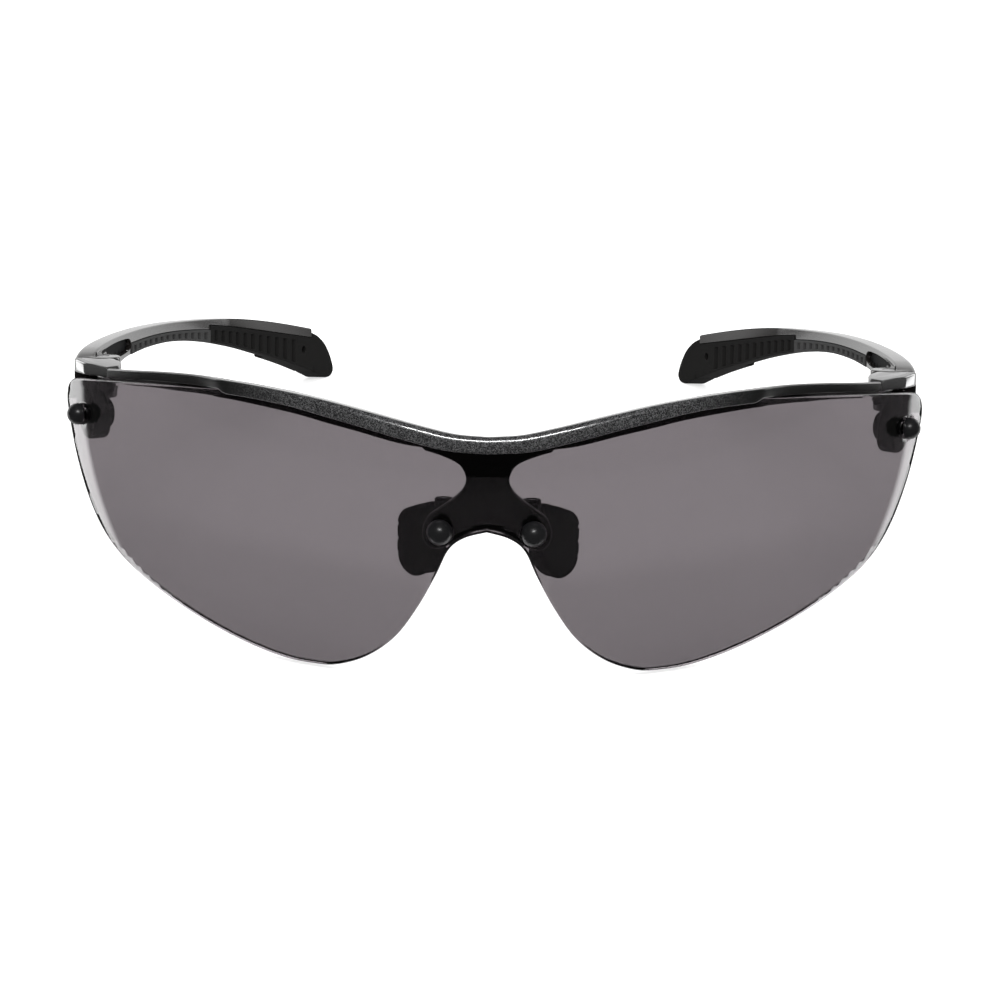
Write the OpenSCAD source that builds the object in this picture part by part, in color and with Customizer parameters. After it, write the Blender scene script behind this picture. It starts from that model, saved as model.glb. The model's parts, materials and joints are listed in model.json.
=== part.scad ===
// Wrap-around safety glasses: one smoked lens on a slim brow bar, with a nose
// bridge, two adjustable nose pads and two folding temples.
// Every piece is drawn in the wearing position: +X to the wearer's left, +Y
// back along the temples, +Z up, and Z = 0 near the top of the temples. stand()
// then leans the whole assembly back, so that it rests on the lens and on the
// two temple tips.

/* [Lens] */
// Radius of the lens's outer sphere
lens_r = 82; // [82:0.5:84]
// Thickness of the lens
lens_t = 2.2; // [1.8:0.1:2.2]
// Radius of the hole for each lens stud
stud_hole_r = 1.0; // [0.9:0.05:1.1]

/* [Brow bar] */
// How far the bar's lip reaches behind the lens
bar_depth = 2.6; // [2.2:0.1:3]
// Plan angle at which the bar meets each end piece
bar_end_angle = 54; // [53:0.5:54.5]

/* [Hinge] */
// Distance of each hinge axis from the middle
hinge_x = 66; // [65.8:0.1:66.2]
// Distance of each hinge axis behind the lens's front
hinge_y = 46; // [46:0.1:46.4]
// Radius of the temple's two hinge ears
ear_r = 3.2; // [3:0.1:3.3]
// Radius of the hinge screw's shank
screw_r = 0.7; // [0.6:0.05:0.8]
// Radial running clearance of the hinge screw and the nose pad pins
pin_gap = 0.05; // [0.03:0.01:0.08]

/* [Temples] */
// Thickness of each temple
temple_t = 3.2; // [3:0.1:3.4]
// Radius of the temple's inward curve
temple_curve_r = 250; // [240:5:260]
// Number of grooves in the front liner
liner_grooves = 13; // [8:1:13]
// Number of grooves in the temple tip
tip_grooves = 11; // [6:1:12]
// Radius of the neck-cord hole in each tip
cord_hole_r = 0.7; // [0.5:0.05:0.9]

/* [Nose] */
// Thickness of each nose pad
pad_t = 2.2; // [2:0.1:2.4]
// Splay of each nose pad, from the front-to-back direction
pad_splay = 45; // [42:1:48]
// Radius of each nose pad's pivot pin
pad_pin_r = 0.7; // [0.6:0.05:0.75]

/* [Hidden] */
$fn = 64;

// Centre of the lens sphere
lens_c = [0, lens_r, -10.5];
lens_inner_r = lens_r - lens_t;
// Gap between pieces of one body that lie face to face
seat = 0.1;

// Right half of the lens outline, seen from the front, from the top of the
// nose arch down and round to the middle of the brow
lens_half = [
    [0, -21.7], [3.5, -22.7], [6, -24.7], [8, -29], [11, -34.7],
    [14.5, -39.8], [19, -43.5], [24, -45.5], [28, -45.7], [33, -45.1],
    [40, -43], [48, -39.6], [56, -35.3], [62, -30.9], [66, -25.3],
    [69, -17.6], [71, -9.5], [71.4, -6.2], [70.7, -3.9], [68.5, -3.05],
    [60, -2.1], [53, -1.55], [46, -1.3], [39, -1.1], [31, -1.6],
    [23, -3.4], [14, -5.5], [6, -6.8], [0, -7.2]
];

// Heights along the brow bar, as [distance from the middle, height]: its top,
// the top of the slot that takes the lens, the lower edge of its front and
// the lower edge of the lip behind the lens
bar_top = [[0, -6.1], [5, -5.75], [10, -4.7], [15, -3.5], [20, -2.35],
           [25, -1.3], [30, -0.5], [35, 0.1], [40, 0.5], [47, 0.5], [54, 0.05],
           [60, -0.6], [66, -1.3]];
bar_slot = [[0, -7.1], [6, -6.7], [14, -5.4], [23, -3.3], [31, -1.45],
            [39, -0.95], [46, -1.15], [53, -1.4], [60, -1.95], [66, -2.5]];
bar_skirt = [[0, -9], [6, -8.6], [11.4, -7.4], [15.3, -6.4], [20, -5.15],
             [24.9, -4], [29.7, -2.9], [34.6, -2.2], [39.7, -1.8],
             [44, -1.7], [66, -1.7]];
bar_lip = [[0, -9.3], [6, -8.95], [10, -8.6], [11.5, -8.45], [13.9, -8.1],
           [17, -7.4], [20.3, -6.6], [25.1, -5.6], [30, -4.55], [34.9, -3.8],
           [39.9, -3.2], [43.3, -2.95], [48.5, -2.85], [53.8, -3.1], [59.3, -3.6],
           [62.2, -3.9], [66, -4.3]];
// Radius of the bar's front face, measured from the lens centre in plan
bar_front = [[0, 83.5], [14, 83.4], [23, 83.2], [31, 83], [36, 82.9],
             [39, 82.85], [41, 82.6], [44, 81.3], [47, 80.3], [53, 79.3],
             [60, 79], [66, 79]];
bar_rings_each_side = 28;

// Temple heights, as [Y, Z]
temple_top = [[43.8, -0.3], [46, 0.25], [50, 0.7], [60, 0.9], [76, 0.75], [87, 0.4], [97, -0.1],
              [112, -1.2], [121, -2.1], [129, -3.2], [136, -4.4],
              [143, -5.8], [149, -7.2], [153, -8.6]];
temple_bottom = [[43.8, -7.2], [51, -7.1], [58, -5], [66, -3.4], [76, -2.9],
                 [84, -2.9], [91, -3.15], [98, -3.75], [106.5, -4.8],
                 [114.5, -6.1], [122, -7.7], [129, -9.5], [135.5, -11.3],
                 [142, -13.3], [148, -15.45]];
// Height of the joint between the hard arm and its liner or tip
liner_line = [[70, -1.1], [82, -1.15], [92, -1.5], [102, -2.2], [109.5, -2.95]];
tip_line = [[110.5, -2.2], [117, -3.1], [127, -4.8], [138, -6.8], [147.2, -8.5]];
// Rounded end of the tip, behind the hard arm
tip_end = [[147.2, -7.5], [149, -8.4], [150.9, -9.9], [152.4, -12], [153.4, -14.2],
           [153.6, -15.6], [152.8, -16.6], [151.3, -16.75], [149.6, -16.1], [148, -15.45]];
liner_start_y = 71;
arm_end_y = 147;
arm_skin_end_y = 134;
tip_start_y = 110;
groove_depth = 0.55;
cord_hole = [145, -10.5];

// Plan arc of each temple: start point, start angle and centre
temple_x = 68.7;
temple_y = 44;
temple_angle = 3.5;
temple_c = [temple_x - temple_curve_r * cos(temple_angle),
            temple_y - temple_curve_r * sin(temple_angle)];
arm_outer_r = temple_curve_r + temple_t / 2;
arm_inner_r = temple_curve_r - temple_t / 2;
skin_t = 1.6;

// Hinge heights, from the upper ear's top down to the lower ear's underside
ear_top = -0.3;
ear_gap_top = -2.0;
tongue_top = -2.4;
tongue_bottom = -5.1;
ear_gap_bottom = -5.3;
ear_bottom = -7.2;
tongue_r = 2.7;
washer_t = 0.3;
screw_head_r = 1.2;
screw_head_t = 0.6;
hinge_clear = 0.35;

// Plan angle and elevation of the studs, seen from the lens centre
side_stud_angle = 56.7;
side_stud_rise = 1.1;
side_stud_r = 1.8;
nose_stud_angle = 5.2;
nose_stud_rise = -7.8;
nose_stud_r = 2.05;
shank_r = stud_hole_r - 0.05;

// Nose bridge, right half of its outline seen from the front
bridge_half = [
    [0, -21.15], [2.4, -21.7], [4.6, -22.9], [6.3, -24.1], [8, -24.7],
    [9.5, -24], [10.2, -22], [9.5, -19.7], [7.7, -18.2], [4.9, -16.1],
    [3.6, -14.4], [3.5, -12.7], [4.6, -11], [7.2, -9.8], [9.9, -9]
];
bridge_inner_r = 77.9;
bridge_outer_r = 79.6;
pad_pivot = [6.9, 6.8];
barrel_r = 1.45;
barrel_top = -16.9;
barrel_bottom = -21.4;
// Nose pad outline: distance back from the pivot, and height
pad_outline = [
    [2, -18.1], [4.6, -18.4], [7.2, -19.2], [9, -20], [10, -21.6],
    [10, -24], [10, -26.4], [9.4, -28.4], [8, -29.7], [6, -30.2],
    [3.8, -29.2], [1.4, -26.4], [0.3, -23.8]
];
pad_grooves = 4;
pad_groove_pitch = 2.3;
pad_groove_top = -20.2;

// Smooth curve through a list of points, with n steps between neighbours
function blend(a, b, c, d, t) =
    0.5 * (2 * b + (c - a) * t + (2 * a - 5 * b + 4 * c - d) * t * t
    + (3 * b - a - 3 * c + d) * t * t * t);
function curve(p, n) = concat(
    [for (i = [0 : len(p) - 2]) for (k = [0 : n - 1])
        blend(p[max(i - 1, 0)], p[i], p[i + 1], p[min(i + 2, len(p) - 1)], k / n)],
    [p[len(p) - 1]]);
function reversed(p) = [for (i = [len(p) - 1 : -1 : 0]) p[i]];
function mirrored(p) = [for (i = [len(p) - 1 : -1 : 0]) if (p[i][0] > 0.001) [-p[i][0], p[i][1]]];

// Smooth height at x in a table of [x, height]
function segment(t, x, i = 0) =
    i >= len(t) - 2 || x < t[i + 1][0] ? i : segment(t, x, i + 1);
function steepness(t, i) =
    let (a = max(i - 1, 0), b = min(i + 1, len(t) - 1))
    (t[b][1] - t[a][1]) / (t[b][0] - t[a][0]);
function height(t, x) =
    let (i = segment(t, x), h = t[i + 1][0] - t[i][0], u = (x - t[i][0]) / h)
    (1 + 2 * u) * (1 - u) * (1 - u) * t[i][1]
    + u * (1 - u) * (1 - u) * h * steepness(t, i)
    + u * u * (3 - 2 * u) * t[i + 1][1]
    + u * u * (u - 1) * h * steepness(t, i + 1);

// How the standing glasses lean: the lens touches the ground at lens_foot,
// the temple tips at tip_foot, both as [Y, Z] in the wearing position
lens_foot_x = 29;
lens_foot_z = -45.65;
lens_foot = [lens_r - sqrt(pow(lens_inner_r, 2) - pow(lens_foot_x, 2)
             - pow(lens_foot_z - lens_c[2], 2)), lens_foot_z];
tip_foot = [152.48, -16.72];
lean = atan2(tip_foot[1] - lens_foot[1], tip_foot[0] - lens_foot[0]);
lift = lens_foot[0] * sin(lean) - lens_foot[1] * cos(lean);
// Front and back ends of the standing glasses, before centring
front_end = -5.86;
back_end = 147.13;
module stand()
    translate([0, -(front_end + back_end) / 2, lift]) rotate([-lean, 0, 0]) children();

// Puts a left-hand piece on the wearer's right
module right() mirror([1, 0, 0]) children();

// Points +Z out from the lens centre, at a plan angle and a rise
module radial(angle, rise) translate(lens_c) rotate([0, 0, angle]) rotate([90 - rise, 0, 0]) children();

// A patch of the lens's sphere: an outline seen from the front, cut square
// to the surface, between two radii
module patch(outline, outer_r, inner_r) {
    near = 20;
    reach = 70;
    cone = [for (p = outline)
        let (dz = p[1] - lens_c[2], dy = sqrt(outer_r * outer_r - p[0] * p[0] - dz * dz))
        [p[0] * near / dy, dz * near / dy]];
    difference() {
        intersection() {
            translate(lens_c) sphere(outer_r, $fn = 128);
            translate(lens_c) translate([0, -near, 0]) rotate([90, 0, 0])
                linear_extrude(reach, scale = (near + reach) / near) polygon(cone);
        }
        translate(lens_c) sphere(inner_r, $fn = 128);
    }
}

// Skin through equal rings of points, closed at both ends
module skin(rings) {
    n = len(rings[0]);
    m = len(rings);
    polyhedron(
        points = [for (r = rings) each r],
        faces = concat(
            [[for (k = [0 : n - 1]) k]],
            [for (j = [0 : m - 2]) for (k = [0 : n - 1])
                [j * n + k, (j + 1) * n + k, (j + 1) * n + (k + 1) % n, j * n + (k + 1) % n]],
            [[for (k = [n - 1 : -1 : 0]) (m - 1) * n + k]]));
}

module lens() color([0.42, 0.39, 0.41, 0.6]) {
    half = curve(lens_half, 3);
    difference() {
        patch(concat(half, mirrored(half)), lens_r, lens_inner_r);
        for (side = [-1, 1]) {
            radial(side * side_stud_angle, side_stud_rise)
                translate([0, 0, lens_r - 5]) cylinder(h = 8, r = stud_hole_r);
            radial(side * nose_stud_angle, nose_stud_rise)
                translate([0, 0, lens_r - 5]) cylinder(h = 8, r = stud_hole_r);
        }
    }
}

// Section of the brow bar at a plan angle: a slot for the lens between a
// rounded front and a lip that reaches down behind the lens
function bar_ring(angle) =
    let (x = abs((lens_inner_r - 0.8) * sin(angle)),
         top = height(bar_top, x), lip = height(bar_lip, x), front = height(bar_front, x),
         slot = height(bar_slot, abs(lens_r * sin(angle))),
         // The front reaches below the slot only where it stands clear of the lens
         reach = max(0, min(1, (front - lens_r - 0.45) / 0.3)),
         skirt = slot - 0.02 - reach * max(0, slot - 0.02 - height(bar_skirt, x)),
         lip_front = min(sqrt(pow(lens_inner_r - seat, 2) - pow(slot - lens_c[2], 2)), front - 0.5),
         skirt_back = min(lens_r + seat, front - 0.35),
         back = min(bridge_inner_r, front - bar_depth),
         drop = 0.4 + 0.13 * (front - back - bar_depth),
         section = [[back, lip + 0.5], [back + 0.5, lip], [lip_front - 0.4, lip],
                    [lip_front, lip + 0.4], [lip_front, slot], [skirt_back, slot],
                    [skirt_back, skirt], [front - 0.25, skirt],
                    [front, skirt + 0.35], [front, top - 0.7], [front - 0.3, top - 0.25],
                    [front - 1.1, top], [back + 0.6, top - drop + 0.1], [back, top - drop - 0.4]])
    [for (p = section) [p[0] * sin(angle), lens_c[1] - p[0] * cos(angle), p[1]]];

module brow_bar() color([0.30, 0.30, 0.31])
    skin([for (i = [-bar_rings_each_side : bar_rings_each_side])
        bar_ring(i / bar_rings_each_side * bar_end_angle)]);

// Front-view outline of the bridge, between two radii
module bridge_slab(outline, outer_r, inner_r) intersection() {
    rotate([90, 0, 0]) translate([0, 0, -12]) linear_extrude(14) polygon(outline);
    difference() {
        translate(lens_c) sphere(outer_r, $fn = 128);
        translate(lens_c) sphere(inner_r, $fn = 128);
    }
}

module nose_bridge() color([0.06, 0.06, 0.07]) {
    // The plate stops just below the bar's lip
    under_lip = [for (x = [10 : -2 : 0]) [x, height(bar_lip, x) - 0.2]];
    half = concat(curve(bridge_half, 3), under_lip);
    tab_half_w = 5;
    difference() {
        union() {
            bridge_slab(concat(half, mirrored(half)), bridge_outer_r, bridge_inner_r);
            bridge_slab([[-3, -12], [3, -12], [tab_half_w, -9.6], [tab_half_w, -7.2],
                         [-tab_half_w, -7.2], [-tab_half_w, -9.6]],
                        bridge_inner_r - seat, 76.3);
            bridge_slab([[-3, -12], [3, -12], [3, -9.8], [-3, -9.8]], 78.5, 77);
            for (side = [-1, 1]) translate([side * pad_pivot[0], pad_pivot[1], 0]) {
                translate([0, 0, barrel_bottom]) cylinder(h = barrel_top - barrel_bottom, r = barrel_r);
                translate([-0.9, -2.4, barrel_bottom + 0.3]) cube([1.8, 2.4, 3.6]);
            }
        }
        for (side = [-1, 1]) {
            translate([side * pad_pivot[0], pad_pivot[1], barrel_bottom - 1])
                cylinder(h = barrel_top - barrel_bottom + 2, r = pad_pin_r + pin_gap);
            radial(side * nose_stud_angle, nose_stud_rise)
                translate([0, 0, 70]) cylinder(h = 12, r = shank_r);
        }
    }
}

// Ball-headed stud that clips a lens to what is behind it
module stud(head_r, length) rotate_extrude() {
    seat_z = lens_r + 0.05;
    centre = seat_z + 0.35;
    intersection() {
        translate([0, centre]) circle(head_r);
        translate([0, seat_z]) square([head_r + 1, 2 * head_r]);
    }
    translate([0, lens_r - length]) square([shank_r - 0.02, length + 0.5]);
}

module nose_stud() color([0.07, 0.07, 0.08]) radial(nose_stud_angle, nose_stud_rise)
    stud(nose_stud_r, 4.2);
module side_stud() color([0.07, 0.07, 0.08]) radial(side_stud_angle, side_stud_rise)
    stud(side_stud_r, 5.2);

// Frame of a nose pad: X back along the pad, Y towards the nose, Z up
module pad_frame() translate([pad_pivot[0], pad_pivot[1], 0]) rotate([0, 0, 90 - pad_splay]) children();

// A flat shape in the pad's plane, centred on it
module pad_slab(outline, t) rotate([90, 0, 0]) translate([0, 0, -t / 2]) linear_extrude(t) polygon(outline);

arm_tongue = [[0, -23.2], [0, -21.8], [2.6, -21.8], [2.6, -20.4], [7.6, -20.4], [7.6, -27.4],
              [4, -27.4], [2.6, -23.2]];
module nose_pad() color([0.05, 0.05, 0.06]) pad_frame() difference() {
    pad_slab(curve(concat(pad_outline, [[0.4, -21.9], [1.95, -21.8], [2, -18.1]]), 3), pad_t);
    pad_slab(arm_tongue, 0.8);
    translate([0, 0, -24]) cylinder(h = 8, r = pad_pin_r + 0.02);
    for (i = [0 : pad_grooves - 1]) translate([1.2, pad_t / 2 - 0.4, pad_groove_top - i * pad_groove_pitch])
        cube([10, 2, 0.5]);
    for (i = [0 : pad_grooves - 1]) translate([9.4, -pad_t, pad_groove_top - i * pad_groove_pitch])
        cube([2, 2 * pad_t, 0.5]);
}

module nose_pad_arm() color([0.55, 0.55, 0.57]) pad_frame() {
    translate([0, 0, -23.2]) cylinder(h = 23.2 + barrel_top - 0.1, r = pad_pin_r);
    pad_slab(arm_tongue, 0.76);
}

// Straight prism with a plan outline, between two heights
module prism(outline, low, high) translate([0, 0, low]) linear_extrude(high - low) polygon(outline);

module at_hinge() translate([hinge_x, hinge_y, 0]) children();

module end_piece() color([0.33, 0.33, 0.34]) {
    shelf = -2.7;
    corner_top = -0.25;
    lug = curve([[68.9, -3.5], [68.8, -7], [68.3, -10], [67.6, -12], [66.9, -13], [65.9, -13],
                 [65.2, -11.8], [65.1, -9], [65.6, -6.5], [66.3, -4.8], [66.8, -3.6]], 3);
    difference() {
        union() {
            difference() {
                union() {
                    prism([[64.1, 35.8], [66.2, 37.8], [68, 38.9], [70.1, 42.4], [70.3, 43.6],
                           [63.6, 43.2], [62, 40.6], [62, 37.3]],
                          shelf, corner_top);
                    prism([[62, 37.4], [63.4, 37.4], [65.9, 40.2], [66.9, 42.8], [64, 42.8],
                           [62, 40.6]], -5.3, shelf + 0.5);
                    patch(lug, lens_inner_r - 0.15, 76.6);
                    radial(side_stud_angle, side_stud_rise)
                        translate([0, 0, 75.8]) cylinder(h = 3.4, r = 2.4);
                }
                at_hinge() translate([0, 0, ear_bottom - 0.4]) cylinder(h = 12, r = ear_r + hinge_clear);
                // The top falls towards the brow bar
                translate([60, 43.6, corner_top]) rotate([5.5, 0, 0]) translate([0, -12, 0]) cube([14, 12, 3]);
            }
            at_hinge() {
                translate([0, 0, tongue_bottom]) cylinder(h = tongue_top - tongue_bottom, r = tongue_r);
                translate([-1.5, -4.4, tongue_bottom]) cube([2.8, 4.4, tongue_top - tongue_bottom]);
            }
        }
        at_hinge() translate([0, 0, -10]) cylinder(h = 12, r = screw_r + pin_gap);
        radial(side_stud_angle, side_stud_rise) translate([0, 0, 70]) cylinder(h = 14, r = shank_r);
    }
}

module hinge_washer() color([0.85, 0.85, 0.82]) at_hinge() difference() {
    translate([0, 0, tongue_top]) cylinder(h = washer_t, r = 2.3);
    translate([0, 0, -4]) cylinder(h = 4, r = screw_r + 0.1);
}

module hinge_screw() color([0.62, 0.62, 0.64]) at_hinge() difference() {
    union() {
        translate([0, 0, ear_top - screw_head_t]) cylinder(h = screw_head_t - 0.05, r = screw_head_r);
        translate([0, 0, ear_bottom + 0.1]) cylinder(h = ear_top - ear_bottom - 0.4, r = screw_r);
    }
    translate([-2, -0.18, ear_top - 0.35]) cube([4, 0.36, 1]);
}

// Band between two plan radii of the temple's curve
module band(outer_r, inner_r) difference() {
    translate([temple_c[0], temple_c[1], -40]) cylinder(h = 60, r = outer_r, $fn = 360);
    translate([temple_c[0], temple_c[1], -41]) cylinder(h = 62, r = inner_r, $fn = 360);
}

// Side-view outline, given as [Y, Z], carried across the temple
module side_view(outline) translate([20, 0, 0]) rotate([90, 0, 90]) linear_extrude(60) polygon(outline);

// Points of a height table between two Y values, both ends included
function span(t, y0, y1, n) =
    [for (i = [0 : n]) let (y = y0 + (y1 - y0) * i / n) [y, height(t, y)]];

// Plan angle of the temple's curve at Y
function temple_a(y) = asin((y - temple_c[1]) / temple_curve_r);
module at_temple(y) translate([temple_c[0], temple_c[1], 0]) rotate([0, 0, temple_a(y)]) children();

module temple_arm() color([0.16, 0.15, 0.15]) difference() {
    union() {
        difference() {
            intersection() {
                band(arm_outer_r, arm_inner_r);
                side_view(concat(span(temple_top, 43.8, arm_end_y, 40),
                                 reversed(span(tip_line, arm_skin_end_y, arm_end_y, 6)),
                                 reversed(span(temple_bottom, 43.8, arm_skin_end_y, 36))));
            }
            // Room for the liner and the tip on the inner side
            intersection() {
                band(arm_outer_r - skin_t + 0.02, arm_inner_r - 5);
                side_view(concat(span(liner_line, liner_start_y, tip_start_y, 12),
                                 span(tip_line, tip_start_y, arm_end_y + 1, 14),
                                 [[arm_end_y + 1, -30], [liner_start_y, -30]]));
            }
            // Moulded pocket behind the hinge
            intersection() {
                band(arm_inner_r + 1, arm_inner_r - 5);
                side_view([[50.5, -0.2], [56, 0.1], [64, 0.2], [70.2, -0.2], [69.8, -2.3], [60, -2.7],
                           [52.5, -2.1]]);
            }
            // The tongue turns between the ears
            at_hinge() translate([0, 0, ear_gap_bottom])
                cylinder(h = ear_gap_top - ear_gap_bottom, r = tongue_r + 0.3);
        }
        at_hinge() for (z = [[ear_gap_top, ear_top], [ear_bottom, ear_gap_bottom]])
            translate([0, 0, z[0]]) {
                cylinder(h = z[1] - z[0], r = ear_r);
                cube([2.4, 6.5, z[1] - z[0]]);
            }
    }
    at_hinge() translate([0, 0, -10]) cylinder(h = 12, r = screw_r + 0.02);
    at_hinge() translate([0, 0, ear_top - screw_head_t - 0.05]) cylinder(h = 3, r = screw_head_r + 0.05);
}

// Grooves across the inner face of a liner or a tip
module grooves(count, y0, y1, top_table, rim) for (i = [0 : count - 1]) {
    y = y0 + (y1 - y0) * (i + 0.5) / count;
    low = height(temple_bottom, y) + 0.4;
    at_temple(y) translate([arm_inner_r - 0.2 - 1, -(y1 - y0) / count * 0.2, low])
        cube([1 + groove_depth, (y1 - y0) / count * 0.4, height(top_table, y) - rim - low]);
}

module temple_liner() color([0.07, 0.07, 0.07]) difference() {
    intersection() {
        band(arm_outer_r - skin_t, arm_inner_r - 0.2);
        side_view(concat(
            [for (p = span(liner_line, liner_start_y + 0.05, tip_start_y - 0.05, 12)) p - [0, 0.03]],
            reversed(span(temple_bottom, liner_start_y + 0.05, tip_start_y - 0.05, 12))));
    }
    grooves(liner_grooves, liner_start_y + 0.6, tip_start_y - 0.6, liner_line, 0.5);
}

module temple_tip() color([0.06, 0.06, 0.06]) difference() {
    union() {
        intersection() {
            band(arm_outer_r - skin_t, arm_inner_r - 0.2);
            side_view(concat(
                [for (p = span(tip_line, tip_start_y + 0.05, arm_end_y + 0.4, 14)) p - [0, 0.03]],
                reversed(span(temple_bottom, tip_start_y + 0.05, arm_end_y, 14))));
        }
        intersection() {
            band(arm_outer_r, arm_inner_r - 0.2);
            side_view(concat(
                [for (p = span(tip_line, arm_skin_end_y + 0.05, arm_end_y + 0.1, 6)) p - [0, 0.03]],
                curve(tip_end, 4),
                reversed(span(temple_bottom, arm_skin_end_y + 0.05, 147.5, 8))));
        }
    }
    grooves(tip_grooves, tip_start_y + 0.8, 142.3, tip_line, 0.9);
    at_temple(cord_hole[0]) translate([arm_inner_r - 2, 0, cord_hole[1]]) rotate([0, 90, 0])
        cylinder(h = 8, r = cord_hole_r);
}

stand() lens();
stand() brow_bar();
stand() nose_bridge();
stand() nose_stud();  // nose_stud_left
stand() right() nose_stud();  // nose_stud_right
stand() nose_pad();  // nose_pad_left
stand() right() nose_pad();  // nose_pad_right
stand() nose_pad_arm();  // nose_pad_arm_left
stand() right() nose_pad_arm();  // nose_pad_arm_right
stand() end_piece();  // end_piece_left
stand() right() end_piece();  // end_piece_right
stand() side_stud();  // side_stud_left
stand() right() side_stud();  // side_stud_right
stand() hinge_washer();  // hinge_washer_left
stand() right() hinge_washer();  // hinge_washer_right
stand() hinge_screw();  // hinge_screw_left
stand() right() hinge_screw();  // hinge_screw_right
stand() temple_arm();  // temple_arm_left
stand() right() temple_arm();  // temple_arm_right
stand() temple_liner();  // temple_liner_left
stand() right() temple_liner();  // temple_liner_right
stand() temple_tip();  // temple_tip_left
stand() right() temple_tip();  // temple_tip_right
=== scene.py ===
"""Wrap-around safety glasses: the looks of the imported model.

Shapes are drawn in the wearing position in millimetres: +X to the wearer's left,
+Y back along the temples, +Z up. STAND carries them into the frame, where the
glasses lean back on the lens's lower edge and the two temple tips.
"""
import json
from math import asin, atan2, ceil, cos, pi, radians, sin, sqrt

import bmesh
import bpy
import numpy as np
from mathutils import Matrix, Vector
from mathutils.geometry import delaunay_2d_cdt


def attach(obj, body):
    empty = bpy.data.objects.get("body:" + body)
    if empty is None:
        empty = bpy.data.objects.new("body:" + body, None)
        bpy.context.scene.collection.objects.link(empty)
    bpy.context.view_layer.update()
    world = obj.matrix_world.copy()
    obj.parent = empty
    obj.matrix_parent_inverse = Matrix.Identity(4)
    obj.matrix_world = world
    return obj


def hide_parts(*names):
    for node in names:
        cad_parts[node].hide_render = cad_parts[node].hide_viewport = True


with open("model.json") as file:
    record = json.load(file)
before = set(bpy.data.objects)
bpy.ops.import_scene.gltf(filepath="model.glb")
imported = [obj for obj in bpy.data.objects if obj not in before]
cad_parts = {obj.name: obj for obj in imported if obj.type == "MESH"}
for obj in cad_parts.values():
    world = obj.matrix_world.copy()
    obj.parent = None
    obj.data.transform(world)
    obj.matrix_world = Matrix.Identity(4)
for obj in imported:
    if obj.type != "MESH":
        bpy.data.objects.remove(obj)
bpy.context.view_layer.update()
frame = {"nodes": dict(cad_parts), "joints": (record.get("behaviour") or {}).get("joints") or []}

# --- From the wearing position to the frame --------------------------------
HINGE = Vector((66, 46, -3.75))
MM = 0.001
hinge_joint = next(j for j in frame["joints"] if j["name"] == "fold_left")
lean = atan2(hinge_joint["axis"][1], hinge_joint["axis"][2])
TURN = Matrix.Rotation(-lean, 4, "X")
STAND = (Matrix.Translation(Vector(hinge_joint["pos_m"]) - TURN @ (HINGE * MM))
         @ TURN @ Matrix.Scale(MM, 4))
MIRROR = Matrix.Scale(-1, 4, (1, 0, 0))
SIDES = ("left", "right")

# --- Shared dimensions -------------------------------------------------------
LENS_R = 82
LENS_T = 2.2
LENS_C = Vector((0, LENS_R, -10.5))
LENS_HALF = [
    (0, -21.7), (3.5, -22.7), (6, -24.7), (8, -29), (11, -34.7),
    (14.5, -39.8), (19, -43.5), (24, -45.5), (28, -45.7), (33, -45.1),
    (40, -43), (48, -39.6), (56, -35.3), (62, -30.9), (66, -25.3),
    (69, -17.6), (71, -9.5), (71.4, -6.2), (70.7, -3.9), (68.5, -3.05),
    (60, -2.1), (53, -1.55), (46, -1.3), (39, -1.1), (31, -1.6),
    (23, -3.4), (14, -5.5), (6, -6.8), (0, -7.2),
]
# Studs, as plan angle and rise in degrees, and the head's radius
SIDE_STUD = (56.7, 1.1, 1.8)
NOSE_STUD = (5.2, -7.8, 2.05)
STUD_HOLE_R = 1.0

# Heights along the brow bar, as (distance from the middle, height)
BAR_TOP = [(0, -6.1), (5, -5.75), (10, -4.7), (15, -3.5), (20, -2.35), (25, -1.3), (30, -0.5),
           (35, 0.1), (40, 0.5), (47, 0.5), (54, 0.05), (60, -0.6), (66, -1.3)]
BAR_SLOT = [(0, -7.1), (6, -6.7), (14, -5.4), (23, -3.3), (31, -1.45), (39, -0.95), (46, -1.15),
            (53, -1.4), (60, -1.95), (66, -2.5)]
BAR_SKIRT = [(0, -9), (6, -8.6), (11.4, -7.4), (15.3, -6.4), (20, -5.15), (24.9, -4),
             (29.7, -2.9), (34.6, -2.2), (39.7, -1.8), (44, -1.7), (66, -1.7)]
BAR_LIP = [(0, -9.3), (6, -8.95), (10, -8.6), (11.5, -8.45), (13.9, -8.1), (17, -7.4), (20.3, -6.6),
           (25.1, -5.6), (30, -4.55), (34.9, -3.8), (39.9, -3.2), (43.3, -2.95), (48.5, -2.85),
           (53.8, -3.1), (59.3, -3.6), (62.2, -3.9), (66, -4.3)]
BAR_FRONT = [(0, 83.5), (14, 83.4), (23, 83.2), (31, 83), (36, 82.9), (39, 82.85), (41, 82.6),
             (44, 81.3), (47, 80.3), (53, 79.3), (60, 79), (66, 79)]
BAR_END_ANGLE = 54
BAR_DEPTH = 2.6
# Gap between pieces of one body that lie face to face
SEAT = 0.1

BRIDGE_HALF = [
    (0, -21.15), (2.4, -21.7), (4.6, -22.9), (6.3, -24.1), (8, -24.7),
    (9.5, -24), (10.2, -22), (9.5, -19.7), (7.7, -18.2), (4.9, -16.1),
    (3.6, -14.4), (3.5, -12.7), (4.6, -11), (7.2, -9.8), (9.9, -9),
]
BRIDGE_OUTER_R = 79.6
BRIDGE_INNER_R = 77.9
TAB_INNER_R = 76.3
BARREL_R = 1.45
BARREL_BORE_R = 0.78
BARREL_TOP = -16.9
BARREL_BOTTOM = -21.4

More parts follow.
